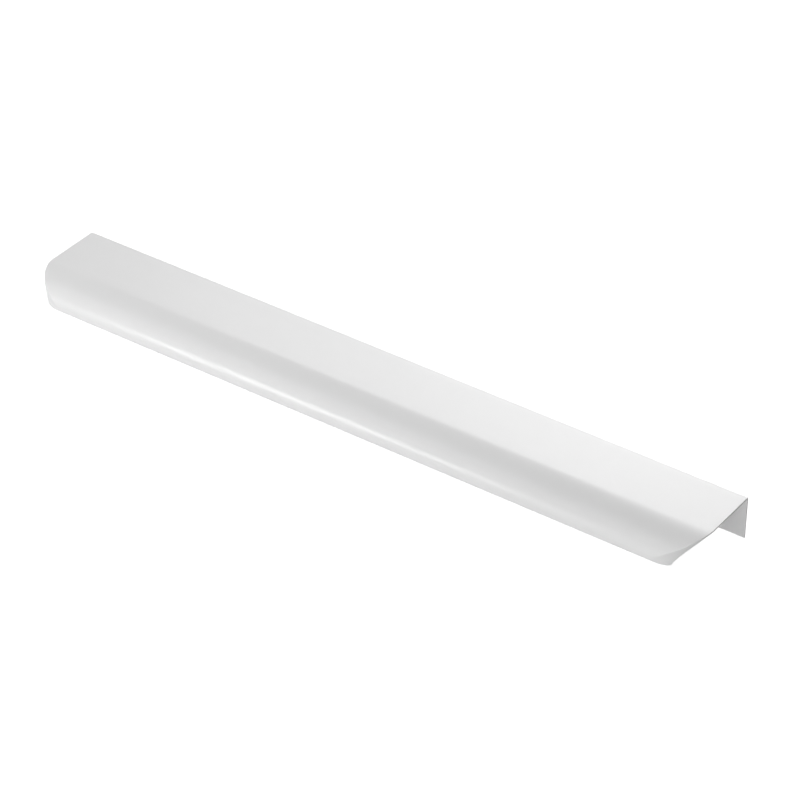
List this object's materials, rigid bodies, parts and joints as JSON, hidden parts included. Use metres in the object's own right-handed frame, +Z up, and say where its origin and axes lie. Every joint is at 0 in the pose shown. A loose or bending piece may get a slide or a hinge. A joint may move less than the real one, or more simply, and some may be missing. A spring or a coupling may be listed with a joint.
{
  "type": "edge pull",
  "caption": "Edge pull for a drawer front or door: a flat plate with a back flange to screw on and a front lip that bends down for fingers.",
  "frame": {"origin": "on the floor under the middle of the pull, as it rests on the lower edges of its flange and lip", "axes": "+X along the length, -Y to the front where the lip is, +Z up; the top plate leans 10.5 degrees down to the front"},
  "size_m": [0.32, 0.043, 0.0187],
  "materials": {
    "powder_coat": "satin"
  },
  "bodies": {
    "root": {"edge_pull": "powder_coat"}
  },
  "joints": []
}
